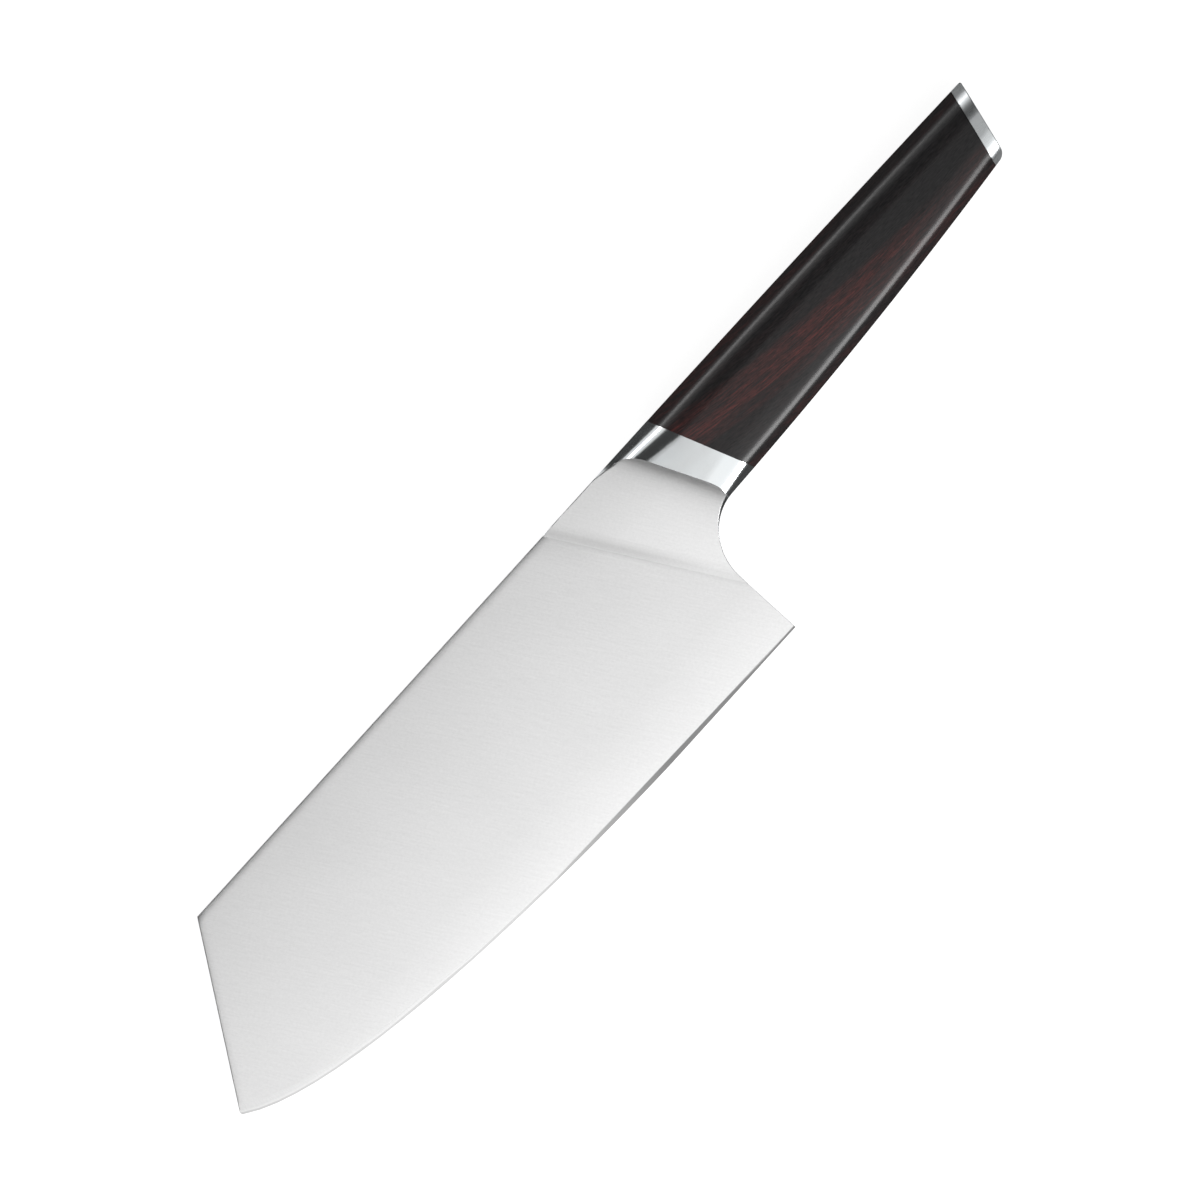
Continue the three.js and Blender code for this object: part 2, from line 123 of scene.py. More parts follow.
# The bolster's skin lies this far outside the blade, over its flanks and over its spine and choil
RAMP_LIFT = 0.004
RIM_LIFT = 0.02

# Mesh density
FACET_STEPS = 8
EASE_STEPS = 4
SHOULDER_STEPS = 14
FLAT_STEPS = 12
RAMP_STEPS = 48
COLLAR_STEPS = 28
WOOD_STEPS = 72
CORNER_STEPS = 16
EDGE_STEPS = 4

# Steps toward a place that is solved for, and toward the ends of a slanted line
SOLVE_STEPS = 26
LINE_STEPS = 6

# Places within the tolerance count as the same, and points closer than the merge distance become one. Faces
# that turn less than the flat angle are joined, an edge of the blade is eased from the edge angle on, and
# each piece is shaded smooth up to its own angle
TOLERANCE = 0.01
MERGE_DISTANCE = 0.001
FLAT_ANGLE = math.radians(0.4)
EDGE_ANGLE = math.radians(60)
BLADE_SMOOTH_ANGLE = math.radians(12)
BOLSTER_SMOOTH_ANGLE = math.radians(25)
HANDLE_SMOOTH_ANGLE = math.radians(30)

HALF_THICKNESS = HANDLE_THICKNESS / 2
BUTT_X = JOINT_X + HANDLE_LENGTH
CAP_X = BUTT_X - CAP_THICKNESS / math.cos(math.radians(CAP_SLANT))
CHOIL_FOOT = BELLY_DROP + CHOIL_RISE


def find_heel():
    """The heel's place along the edge, with the height of the spine and of the blade's middle plane."""
    low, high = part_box("blade")
    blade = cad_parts["blade"]
    points = [blade.matrix_world @ vertex.co for vertex in blade.data.vertices]
    heel_x = max(point.x for point in points if point.y < low.y + TOLERANCE * MM)
    return Vector((heel_x, high.y, (low.z + high.z) / 2))


HEEL = find_heel()


def to_frame(x, y, z):
    return HEEL + Vector((x, y, z)) * MM


def tangent(angle):
    return math.tan(math.radians(angle))


def mix(start, end, share):
    return start + (end - start) * share


def solve(rising, target, low=0.0, high=1.0):
    """The place between low and high where a rising function reaches its target."""
    for _ in range(SOLVE_STEPS):
        middle = (low + high) / 2
        if rising(middle) < target:
            low = middle
        else:
            high = middle
    return (low + high) / 2


# Shape of the blade's flanks and of the ramps that rise from them
def flank(y):
    slope = (SPINE_THICKNESS - BEVEL_THICKNESS) / 2 / (HEEL_HEIGHT - BEVEL_WIDTH)
    return SPINE_THICKNESS / 2 + slope * y


def ramp_run(x, y):
    """How far up the ramp a place is: its lines turn from the plunge line's slant to the arris's."""
    turn = (tangent(PLUNGE_SLANT) - tangent(ARRIS_SLANT)) / RAMP_LENGTH
    stretch = 1 / math.cos(math.radians(PLUNGE_SLANT)) + turn * (y + BELLY_DROP / 2)
    return (x - PLUNGE_X + y * tangent(PLUNGE_SLANT)) / stretch


RAMP_TOP = HALF_THICKNESS - flank(-BELLY_DROP / 2)


def ramp_curve(share):
    start, end = math.radians(RAMP_START_ANGLE), math.radians(RAMP_END_ANGLE)
    points = (
        Vector((0, 0)),
        RAMP_START_SWEEP * Vector((math.cos(start), math.sin(start))),
        Vector((RAMP_LENGTH, RAMP_TOP)) - RAMP_END_SWEEP * Vector((math.cos(end), math.sin(end))),
        Vector((RAMP_LENGTH, RAMP_TOP)),
    )
    weights = (
        (1 - share) ** 3,
        3 * share * (1 - share) ** 2,
        3 * share**2 * (1 - share),
        share**3,
    )
    return sum((point * weight for point, weight in zip(points, weights)), Vector((0, 0)))


def ramp_rise(run):
    """Height of the ramp above the flank, with a fillet that straddles the plunge line."""
    if run > RAMP_LENGTH:
        return RAMP_TOP + (run - RAMP_LENGTH) * tangent(RAMP_END_ANGLE)
    fillet_end = PLUNGE_FILLET / 2
    rise = ramp_curve(solve(lambda share: ramp_curve(share).x, max(run, fillet_end))).y
    into_fillet = min(1, (run + fillet_end) / PLUNGE_FILLET)
    return mix(RAMP_LIFT, rise, max(0, into_fillet) ** 2)


# Outline of the handle
def spine_y(x):
    along = max(0, x - JOINT_X) / HANDLE_LENGTH
    return -SPINE_SAG * along * along


def belly_y(x):
    run = x - CHOIL_DEPTH
    full_run = BUTT_X - BUTT_HEIGHT * tangent(-CAP_SLANT) - CHOIL_DEPTH
    start_rise = tangent(BELLY_START_ANGLE)
    bow = (BELLY_DROP - SPINE_SAG - BUTT_HEIGHT - start_rise * full_run) / full_run**2
    return -BELLY_DROP + start_rise * run + bow * run * run


def slanted_line(spine_x, slant):
    """The two ends, on spine and belly, of a slanted line across the handle."""
    spine = Vector((spine_x, spine_y(spine_x)))
    belly = Vector((spine_x, belly_y(spine_x)))
    for _ in range(LINE_STEPS):
        belly.x = spine.x + (spine.y - belly.y) * tangent(slant)
        belly.y = belly_y(belly.x)
    return spine, belly


# Section of the handle
def corner(facet_width, facet_drop, shoulder_width, shoulder_drop, ease):
    """From the rim inward: facet, eased arris and an arc that ends level, each point as (across, drop)."""
    radius = (shoulder_width**2 + shoulder_drop**2) / (2 * shoulder_drop)
    flat_start = facet_width + shoulder_width

    def arc(across):
        run = flat_start - across
        return Vector((across, radius - math.sqrt(radius**2 - run**2)))

    rim = Vector((0, shoulder_drop + facet_drop))
    arris = Vector((facet_width, shoulder_drop))
    ease = min(ease, facet_width / 2)
    before = arris + (rim - arris).normalized() * ease
    after = arc(facet_width + ease)
    points = [rim.lerp(before, step / FACET_STEPS) for step in range(FACET_STEPS)]
    for step in range(EASE_STEPS):
        share = step / EASE_STEPS
        points.append(before * (1 - share) ** 2 + arris * 2 * share * (1 - share) + after * share**2)
    for step in range(SHOULDER_STEPS + 1):
        points.append(arc(mix(after.x, flat_start, step / SHOULDER_STEPS)))
    return points


def shrunk(corner_sizes, facet_share, shoulder_share=1):
    """A corner's sizes with a share of its facet and of its shoulder."""
    shares = (facet_share, facet_share, shoulder_share, shoulder_share)
    return [share * size for share, size in zip(shares, corner_sizes)]


def section(eases, spine_corner=SPINE_CORNER, belly_corner=BELLY_CORNER):
    """Half the section from spine to belly: each point lies at start + share * height, at a drop."""
    spine_side = corner(*spine_corner, eases[0])
    belly_side = corner(*belly_corner, eases[1])
    points = [(across, 0, drop) for across, drop in spine_side]
    for step in range(1, FLAT_STEPS):
        share = step / FLAT_STEPS
        points.append((mix(spine_side[-1].x, -belly_side[-1].x, share), share, 0))
    points += [(-across, 1, drop) for across, drop in reversed(belly_side)]
    return points


def ring(line, half_section, half_thickness=HALF_THICKNESS):
    """A closed ring of the section on a line from spine to belly, upper half first."""
    spine, belly = line
    height = spine.y - belly.y
    lean = (belly.x - spine.x) / height
    upper = []
    for start, share, drop in half_section:
        across = start + share * height
        upper.append((spine.x + lean * across, spine.y - across, half_thickness - drop))
    return upper + [(x, y, -z) for x, y, z in reversed(upper)]


# Meshes
def new_piece(name, mesh_builder, *nodes, slot):
    """A piece of the knife that stands for CAD nodes; the slot is not used."""
    mesh = bpy.data.meshes.new(name)
    mesh_builder.normal_update()
    mesh_builder.to_mesh(mesh)
    mesh_builder.free()
    piece = bpy.data.objects.new(name, mesh)
    bpy.context.scene.collection.objects.link(piece)
    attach(piece, "root")
    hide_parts(*nodes)
    return piece


def loft(rings):
    """A closed skin of quads over rings, with each end closed by quads from upper to lower half."""
    skin = bmesh.new()
    rows = [[skin.verts.new(to_frame(*point)) for point in points] for points in rings]
    count = len(rows[0])
    for row, after in zip(rows, rows[1:]):
        for i in range(count):
            j = (i + 1) % count
            skin.faces.new((row[i], row[j], after[j], after[i]))
    for i in range(count // 2 - 1):
        first, last = rows[0], rows[-1]
        skin.faces.new((first[i + 1], first[i], first[-1 - i], first[-2 - i]))
        skin.faces.new((last[i], last[i + 1], last[-2 - i], last[-1 - i]))
    bmesh.ops.recalc_face_normals(skin, faces=skin.faces)
    return skin


def shade_smooth(piece, sharp_angle):
    """Shades a piece smooth, except where its faces turn by more than an angle."""
    for polygon in piece.data.polygons:
        polygon.use_smooth = True
    piece.data.set_sharp_from_angle(angle=sharp_angle)


def grain_place(x, y, _):
    """A place in metres across and along the grinding marks, which run parallel to the plunge line."""
    slant = math.radians(PLUNGE_SLANT)
    return x * math.cos(slant) + y * math.sin(slant), y * math.cos(slant) - x * math.sin(slant)


def lay_grain(piece):
    """A texture layer in which the grinding marks run alike on all pieces."""
    layer = piece.data.uv_layers.new(name="grain")
    for loop in piece.data.loops:
        layer.data[loop.index].uv = grain_place(*piece.data.vertices[loop.vertex_index].co)


# Materials
POLISHED_TINTS = ((0.520, 0.542, 0.550, 1), (0.535, 0.550, 0.556, 1))
COLLAR_ROUGHNESS = 0.13
CAP_ROUGHNESS = 0.28
RESIN_AMBERS = ((0.20, 0.12, 0.04, 1), (0.30, 0.18, 0.06, 1))
FASTENER_GREYS = ((0.30, 0.31, 0.32, 1), (0.42, 0.43, 0.44, 1))
WHITE = (1, 1, 1, 1)

# Satin tones, each at two heights, with painted light: the blade is painted brighter toward its edge and the
# ramp toward the choil, and the ramp's tone is painted darker than the blade's
BLADE_TONES = (0.82, 0.74)
BLADE_TONE_HEIGHTS = (-60, -44)
RAMP_TONES = (0.685, 0.615)
RAMP_TONE_HEIGHTS = (-36, -12)

# Plunge line: the distances from it over which blade tone turns to ramp tone, then how much painted shade
# darkens the steel along it, and the share of that at two heights
TONE_CHANGE = (-1.7, -0.9)
PLUNGE_SHADE = 0.2
PLUNGE_SHADE_SHARES = (0.5, 1)
PLUNGE_SHADE_HEIGHTS = (-36, -20)

# Toward the spine, between two heights, the painted shade along the plunge line reaches farther from it. A
# painted shade grows there too, and it sets in between two distances from the line
SPINE_HEIGHTS = (-15, -3)
PLUNGE_SHADE_REACHES = (2.5, 4.5)
SPINE_SHADE = 0.09
SPINE_SHADE_START = (-8, -2)

# Bevel: the tone of its painted shade along the cutting edge at two places along the blade, its coarse tone
# at two distances from the middle plane, where the painted shade turns to coarse, and the tilts that tell the
# bevel's faces
EDGE_SHADE_TONES = (0.6, 0.25)
EDGE_SHADE_PLACES = (-95, -45)
COARSE_TONES = (0.76, 0.7)
COARSE_DEPTHS = (0.15, 0.25)
EDGE_SHADE_DEPTHS = (0.12, 0.15)
BEVEL_LOW_TILT = 4
BEVEL_HIGH_TILT = 75

# Wood, with a red streak whose middle falls from the spine as a parabola along the handle. The streak fades
# at these distances from its middle and along the handle. The block's sides are reddish up to a depth from
# the blade's middle plane, where the broad faces start
WOOD_BLACKS = ((0.004, 0.004, 0.0045, 1), (0.018, 0.0175, 0.018, 1))
WOOD_RED = (0.095, 0.024, 0.022, 1)
STREAK_START = -8.7
STREAK_SLOPE = -0.233
STREAK_BEND = 0.0013
STREAK_REACH = (2, 5.5)
STREAK_FADE = (45, 105)
SIDE_RED = 0.25
SIDE_DEPTHS = (7.2, 7.6)


class Finish:
    """A node material with one shader, and short ways to add and link nodes."""

    def __init__(self, name, **values):
        self.material = bpy.data.materials.new(name)
        self.material.use_nodes = True
        self.tree = self.material.node_tree
        self.shader = self.tree.nodes["Principled BSDF"]
        for socket, value in values.items():
            self.shader.inputs[socket.replace("_", " ")].default_value = value

    def add(self, kind, inputs=None, **settings):
        node = self.tree.nodes.new(kind)
        for name, value in settings.items():
            setattr(node, name, value)
        for name, value in (inputs or {}).items():
            self.feed(node, name, value)
        return node

    def feed(self, node, name, value):
        if isinstance(value, bpy.types.NodeSocket):
            self.tree.links.new(value, node.inputs[name])
        else:
            node.inputs[name].default_value = value

    def math(self, operation, first, second=0.0):
        return self.add("ShaderNodeMath", {0: first, 1: second}, operation=operation).outputs[0]

    def spread(self, value, low, high, from_low=0.3, from_high=0.7):
        """A value's range, by default the one that noise mostly fills, spread over low to high."""
        inputs = {0: value, 1: from_low, 2: from_high, 3: low, 4: high}
        return self.add("ShaderNodeMapRange", inputs).outputs[0]

    def between(self, first, second, share):
        """First, turned by a share into second."""
        step = self.math("SUBTRACT", second, first)
        return self.math("ADD", first, self.math("MULTIPLY", step, share))

    def noise(self, vector, scale, detail=4.0, roughness=0.55):
        """Noise with its own number of grains to the unit along each axis."""
        grains = self.add("ShaderNodeMapping", {"Vector": vector, "Scale": scale}).outputs[0]
        inputs = {"Vector": grains, "Scale": 1.0, "Detail": detail, "Roughness": roughness}
        return self.add("ShaderNodeTexNoise", inputs).outputs["Fac"]

    def blend(self, share, first, second):
        node = self.add("ShaderNodeMix", data_type="RGBA")
        for name, value in (("Factor_Float", share), ("A_Color", first), ("B_Color", second)):
            socket = next(s for s in node.inputs if s.identifier == name)
            if isinstance(value, bpy.types.NodeSocket):
                self.tree.links.new(value, socket)
            else:
                socket.default_value = value
        return next(s for s in node.outputs if s.identifier == "Result_Color")

    def bump(self, height, strength, distance):
        inputs = {"Height": height, "Strength": strength, "Distance": distance}
        self.feed(self.shader, "Normal", self.add("ShaderNodeBump", inputs).outputs[0])


def in_metres(distances, start=0.0):
    """Places in metres that lie at distances in millimetres from a start."""
    return [start + distance * MM for distance in distances]


def satin_tone(finish, grain):
    """The satin steel's grey: blade tone in front of the plunge line, ramp tone behind it, with painted shade
    on it and toward the spine.
    """
    place = finish.add("ShaderNodeTexCoord").outputs["Object"]
    height = finish.add("ShaderNodeSeparateXYZ", {0: place}).outputs[1]
    plunge, _ = grain_place(*to_frame(PLUNGE_X, 0, 0))
    behind = finish.math("SUBTRACT", finish.add("ShaderNodeSeparateXYZ", {0: grain}).outputs[0], plunge)
    # Painted light: the blade's tone brightens toward its edge and the ramp's toward the choil, and the
    # ramp's tone is painted darker than the blade's
    blade_tone = finish.spread(height, *BLADE_TONES, *in_metres(BLADE_TONE_HEIGHTS, HEEL.y))
    ramp_tone = finish.spread(height, *RAMP_TONES, *in_metres(RAMP_TONE_HEIGHTS, HEEL.y))
    grey = finish.between(blade_tone, ramp_tone, finish.spread(behind, 0, 1, *in_metres(TONE_CHANGE)))
    # Painted shade darkens the steel along the plunge line and, toward the spine, behind it
    spine_heights = in_metres(SPINE_HEIGHTS, HEEL.y)
    reach = finish.spread(height, *in_metres(PLUNGE_SHADE_REACHES), *spine_heights)
    plunge_shade = finish.spread(finish.math("ABSOLUTE", behind), PLUNGE_SHADE, 0, 0, reach)
    plunge_shade_share = finish.spread(height, *PLUNGE_SHADE_SHARES, *in_metres(PLUNGE_SHADE_HEIGHTS, HEEL.y))
    plunge_shade = finish.math("MULTIPLY", plunge_shade, plunge_shade_share)
    spine_shade = finish.spread(height, 0, SPINE_SHADE, *spine_heights)
    shade_share = finish.spread(behind, 0, 1, *in_metres(SPINE_SHADE_START))
    painted_shade = finish.math("MAXIMUM", plunge_shade, finish.math("MULTIPLY", spine_shade, shade_share))
    return finish.math("MULTIPLY", grey, finish.math("SUBTRACT", 1, painted_shade))


def satin_steel():
    """Steel with fine grinding marks parallel to the plunge line."""
    finish = Finish("satin_steel", Metallic=1.0, Anisotropic=0.75)
    grain = finish.add("ShaderNodeUVMap", uv_map="grain").outputs[0]
    across = finish.add("ShaderNodeTangent", direction_type="UV_MAP", uv_map="grain").outputs[0]
    marks = finish.noise(grain, (2400, 160, 1), detail=5, roughness=0.7)
    pits = finish.noise(grain, (1500, 1500, 1), detail=3)
    clouds = finish.noise(grain, (60, 25, 1), detail=3)
    grey = satin_tone(finish, grain)
    for noise, depth in ((marks, 0.05), (pits, 0.035), (clouds, 0.015)):
        grey = finish.math("MULTIPLY", grey, finish.spread(noise, 1 - depth, 1 + depth))
    finish.feed(finish.shader, "Base Color", grey)
    finish.feed(finish.shader, "Roughness", finish.spread(marks, 0.34, 0.40))
    finish.feed(finish.shader, "Tangent", across)
    finish.bump(marks, 0.05, 0.02 * MM)
    return finish.material


def edge_steel():
    """The coarse bevel, with painted shade as a dark line along the cutting edge, most at the heel."""
    finish = Finish("edge_steel", Metallic=1.0)
    place = finish.add("ShaderNodeTexCoord").outputs["Object"]
    along, _, up = finish.add("ShaderNodeSeparateXYZ", {0: place}).outputs
    marks = finish.noise(place, (5000, 900, 900), detail=3)
    depth = finish.math("ABSOLUTE", finish.math("SUBTRACT", up, HEEL.z))
    # Painted shade: a dark line along the cutting edge, darkest toward the heel
    edge_shade = finish.spread(along, *EDGE_SHADE_TONES, *in_metres(EDGE_SHADE_PLACES, HEEL.x))
    coarse = finish.spread(depth, *COARSE_TONES, *in_metres(COARSE_DEPTHS))
    grey = finish.between(edge_shade, coarse, finish.spread(depth, 0, 1, *in_metres(EDGE_SHADE_DEPTHS)))
    finish.feed(finish.shader, "Base Color", finish.math("MULTIPLY", grey, finish.spread(marks, 0.92, 1.08)))
    finish.feed(finish.shader, "Roughness", finish.spread(marks, 0.55, 0.65))
    return finish.material


def polished_steel(name, roughness):
    """Buffed steel with a faint blue tint, hazy smears and fine scratches along the handle."""
    finish = Finish(name, Metallic=1.0)
    place = finish.add("ShaderNodeTexCoord").outputs["Object"]
    smear = finish.noise(place, (90, 160, 160), detail=3)
    scratch = finish.noise(place, (500, 9000, 9000), detail=2)
    finish.feed(finish.shader, "Base Color", finish.blend(finish.spread(smear, 0, 1), *POLISHED_TINTS))
    haze = finish.math("ADD", finish.spread(smear, -0.02, 0.02), finish.spread(scratch, -0.01, 0.02))
    finish.feed(finish.shader, "Roughness", finish.math("ADD", haze, roughness))
    finish.bump(scratch, 0.02, 0.01 * MM)
    return finish.material


def streak_axes(finish):
    """Millimetres along the handle, across from the streak's middle, and up from what the knife lies on."""
    place = finish.add("ShaderNodeTexCoord").outputs["Object"]
    axes = finish.add("ShaderNodeSeparateXYZ", {0: place}).outputs
    along = finish.math("DIVIDE", finish.math("SUBTRACT", axes[0], HEEL.x + CHOIL_DEPTH * MM), MM)
    down = finish.math("DIVIDE", finish.math("SUBTRACT", axes[1], HEEL.y), MM)
    up = finish.math("DIVIDE", axes[2], MM)
    slope = finish.math("ADD", finish.math("MULTIPLY", along, STREAK_BEND), STREAK_SLOPE)
    middle = finish.math("ADD", finish.math("MULTIPLY", along, slope), STREAK_START)
    return along, finish.math("SUBTRACT", down, middle), up


def streak_red(finish, along, across, up):
    """How red the wood is: most in the streak, which fades toward the butt, and a little on the sides."""
    belt = finish.spread(finish.math("ABSOLUTE", across), 1.0, 0.05, *STREAK_REACH)
    fade = finish.spread(along, 1.0, 0.3, *STREAK_FADE)
    off_middle = finish.math("ABSOLUTE", finish.math("SUBTRACT", up, HEEL.z / MM))
    sides = finish.spread(off_middle, SIDE_RED, 0.0, *SIDE_DEPTHS)
    return finish.math("MAXIMUM", finish.math("MULTIPLY", belt, fade), sides)


def dark_wood():
    """Near-black wood with a red streak, in which bands, fibres and fine threads follow the streak's line."""
    finish = Finish(
        "dark_wood",
        Specular_IOR_Level=0.1,
        Coat_Weight=0.42,
        Coat_Roughness=0.2,
        Coat_IOR=1.5,
    )
    along, across, up = streak_axes(finish)
    grain = finish.add("ShaderNodeCombineXYZ", {0: along, 1: across, 2: up}).outputs[0]
    bands = finish.noise(grain, (0.016, 0.3, 0.1), detail=5, roughness=0.65)
    fibres = finish.noise(grain, (0.18, 2.6, 1.5), detail=6, roughness=0.75)
    threads = finish.noise(grain, (0.5, 4, 3), detail=3)
    red = streak_red(finish, along, across, up)
    red = finish.math("MULTIPLY", red, finish.spread(bands, 0.2, 1.0, 0.4, 0.6))
    red = finish.math("MULTIPLY", red, finish.spread(fibres, 0.0, 1.5, 0.37, 0.63))
    red = finish.math("MULTIPLY", red, finish.spread(threads, 0.4, 1.6))
    black = finish.blend(finish.spread(threads, 0, 1), *WOOD_BLACKS)
    finish.feed(finish.shader, "Base Color", finish.blend(red, black, WOOD_RED))
    finish.feed(finish.shader, "Roughness", finish.spread(fibres, 0.48, 0.6))
    finish.bump(finish.math("ADD", fibres, threads), 0.25, 0.03 * MM)
    return finish.material


def resin():
    """Cloudy amber."""
    finish = Finish("resin", Roughness=0.3)
    place = finish.add("ShaderNodeTexCoord").outputs["Object"]
    clouds = finish.noise(place, (400, 400, 400))
    finish.feed(finish.shader, "Base Color", finish.blend(clouds, *RESIN_AMBERS))
    return finish.material


def fastener_steel():
    """Plain grey steel with marks along the handle."""
    finish = Finish("fastener_steel", Metallic=1.0)
    place = finish.add("ShaderNodeTexCoord").outputs["Object"]
    marks = finish.noise(place, (300, 3000, 3000))
    finish.feed(finish.shader, "Base Color", finish.blend(marks, *FASTENER_GREYS))
    finish.feed(finish.shader, "Roughness", finish.spread(marks, 0.28, 0.42))
    return finish.material


# Pieces
def thin_border(solid, start, end, width, share):
    """Thins the blade by a soft curve toward a straight border that has the blade on its left."""
    along = (end - start).normalized()
    inward = Vector((-along.y, along.x))
    for step in range(1, THINNING_STEPS + 2):
        place = start + inward * width * step / THINNING_STEPS
        everything = [*solid.verts, *solid.edges, *solid.faces]
        bmesh.ops.bisect_plane(solid, geom=everything, plane_co=to_frame(*place, 0), plane_no=(*inward, 0))
    for vertex in solid.verts:
        distance = ((vertex.co - HEEL).xy / MM - start).dot(inward)
        closeness = min(1, max(0, 1 - distance / width))
        vertex.co.z -= (vertex.co.z - HEEL.z) * share * closeness**2


def ease_blade_edges(solid):
    """Rounds the blade's edges at spine and front, and those of its heel."""
    def middle(edge):
        return ((edge.verts[0].co + edge.verts[1].co) / 2 - HEEL) / MM

    def is_outer(edge):
        x, y, z = middle(edge)
        before_plunge = ramp_run(x, y) < -PLUNGE_FILLET
        return before_plunge and abs(z) > BEVEL_THICKNESS and edge.calc_face_angle(0) > EDGE_ANGLE

    def is_heel(edge):
        x, y, z = middle(edge)
        below_choil = abs(x) < TOLERANCE and y < -CHOIL_FOOT
        return below_choil and abs(z) > HEEL_EASE and edge.calc_face_angle(0) > EDGE_ANGLE

    for chosen, ease in ((is_outer, SPINE_EASE), (is_heel, HEEL_EASE)):
        edges = [edge for edge in solid.edges if chosen(edge)]
        bmesh.ops.bevel(solid, geom=edges, offset=ease * MM, segments=EDGE_STEPS, profile=0.5, affect="EDGES")


def make_blade(satin):
    """The CAD blade, thinned toward spine and front, with its outer edges eased."""
    solid = bmesh.new()
    solid.from_mesh(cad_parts["blade"].data)
    bmesh.ops.remove_doubles(solid, verts=solid.verts, dist=MERGE_DISTANCE * MM)
    bmesh.ops.dissolve_limit(solid, angle_limit=FLAT_ANGLE, verts=solid.verts, edges=solid.edges)
    solid.normal_update()
    for face in solid.faces:
        tilt = math.degrees(math.acos(min(1, abs(face.normal.z))))
        face.material_index = int(BEVEL_LOW_TILT < tilt < BEVEL_HIGH_TILT)
    spine_end = Vector((-SPINE_LENGTH, 0))
    thin_border(solid, Vector((0, 0)), spine_end, *SPINE_THINNING)
    thin_border(solid, spine_end, Vector((-EDGE_LENGTH, -TIP_DROP)), *FRONT_THINNING)
    solid.normal_update()
    ease_blade_edges(solid)
    piece = new_piece("blade_ground", solid, "blade", slot="satin_steel")
    shade_smooth(piece, BLADE_SMOOTH_ANGLE)
    lay_grain(piece)
    piece.data.materials.append(satin)
    piece.data.materials.append(edge_steel())


def bolster_line(along):
    """A line across the bolster, from the plunge line round the choil to the joint with the wood."""
    joint_spine, joint_belly = slanted_line(JOINT_X - GLUE_GAP, JOINT_SLANT)
    place = along * BOLSTER_FAN
    if place < 1:
        belly = Vector((RIM_LIFT, -CHOIL_FOOT - HEEL_OVERRUN * (1 - place)))
    elif place < BOLSTER_FAN - 1:
        angle = mix(math.pi, math.pi / 2, (place - 1) / (BOLSTER_FAN - 2))
        belly = Vector((
            CHOIL_DEPTH + (CHOIL_DEPTH - RIM_LIFT) * math.cos(angle),
            -CHOIL_FOOT + (CHOIL_RISE - RIM_LIFT) * math.sin(angle),
        ))
    else:
        choil_top = Vector((CHOIL_DEPTH, -BELLY_DROP - RIM_LIFT))
        belly = choil_top.lerp(joint_belly, place - BOLSTER_FAN + 1)
    slant = mix(PLUNGE_SLANT, JOINT_SLANT, along)
    spine = Vector((belly.x + belly.y * tangent(slant), RIM_LIFT))
    corner_share = 1 - (joint_spine.x - spine.x) / CORNER_GROWTH
    facet_share = max(FACET_LEAST_SHARE, 1 - (joint_belly.x - belly.x) / FACET_GROWTH)
    return spine, belly, corner_share, facet_share


def bolster_place(along, index):
    """A place on the bolster: x, y, the heights of collar and ramp, and how far it lies inside a rim."""
    spine, belly, corner_share, facet_share = bolster_line(along)
    spine_corner = shrunk(SPINE_CORNER, corner_share, corner_share)
    belly_corner = shrunk(BELLY_CORNER, facet_share)
    start, share, drop = section(STEEL_EASES, spine_corner, belly_corner)[index]
    height = spine.y - belly.y
    across = start + share * height
    x = spine.x + (belly.x - spine.x) / height * across
    y = spine.y - across
    spine_rim = max(SPINE_RIM_WIDTH, SPINE_RIM_GROWTH * (x - SPINE_RIM_START)) - across
    belly_rim = belly_corner[0] - (height - across)
    rim = max(0, spine_rim, belly_rim)
    return x, y, HALF_THICKNESS - drop, flank(y) + ramp_rise(ramp_run(x, y)) - RIM_SLOPE * rim, rim


def bolster_columns():
    """Places from the plunge line over the arris to the wood, in a column for each point of the section."""
    def run(along, index):
        x, y, *_ = bolster_place(along, index)
        return ramp_run(x, y)

    def above_collar(along, index):
        _, _, collar, ramp, _ = bolster_place(along, index)
        return ramp - collar

    columns = []
    for index in range(len(section(STEEL_EASES))):
        start = solve(lambda along: run(along, index), -PLUNGE_FILLET / 2)
        arris = solve(lambda along: above_collar(along, index), 0)
        alongs = [mix(start, arris, step / RAMP_STEPS) for step in range(RAMP_STEPS)]
        alongs += [mix(arris, 1, step / COLLAR_STEPS) for step in range(COLLAR_STEPS + 1)]
        columns.append([bolster_place(along, index) for along in alongs])
    return columns


def mark_ramps(piece, columns):
    """Turns the bolster's ramps, inside their rims, over to its second material."""
    count = 2 * len(columns)
    for polygon in piece.data.polygons[: RAMP_STEPS * count]:
        step, place = divmod(polygon.index, count)
        column = min(place, count - 2 - place)
        if 0 <= column < len(columns) - 1:
            rims = [columns[column + side][step][-1] for side in (0, 1)]
            polygon.material_index = int(min(rims) == 0)


def make_bolster(satin):
    """Satin ramps with polished rims, which rise from the flanks to an arris, and the polished collar."""
    columns = bolster_columns()
    rings = []
    for row in zip(*columns):
        upper = [(x, y, min(collar, ramp)) for x, y, collar, ramp, _ in row]
        rings.append(upper + [(x, y, -z) for x, y, z in reversed(upper)])
    piece = new_piece("bolster_ramped", loft(rings), "bolster", slot="polished_steel")
    shade_smooth(piece, BOLSTER_SMOOTH_ANGLE)
    lay_grain(piece)
    piece.data.materials.append(polished_steel("polished_steel", COLLAR_ROUGHNESS))
    piece.data.materials.append(satin)
    mark_ramps(piece, columns)


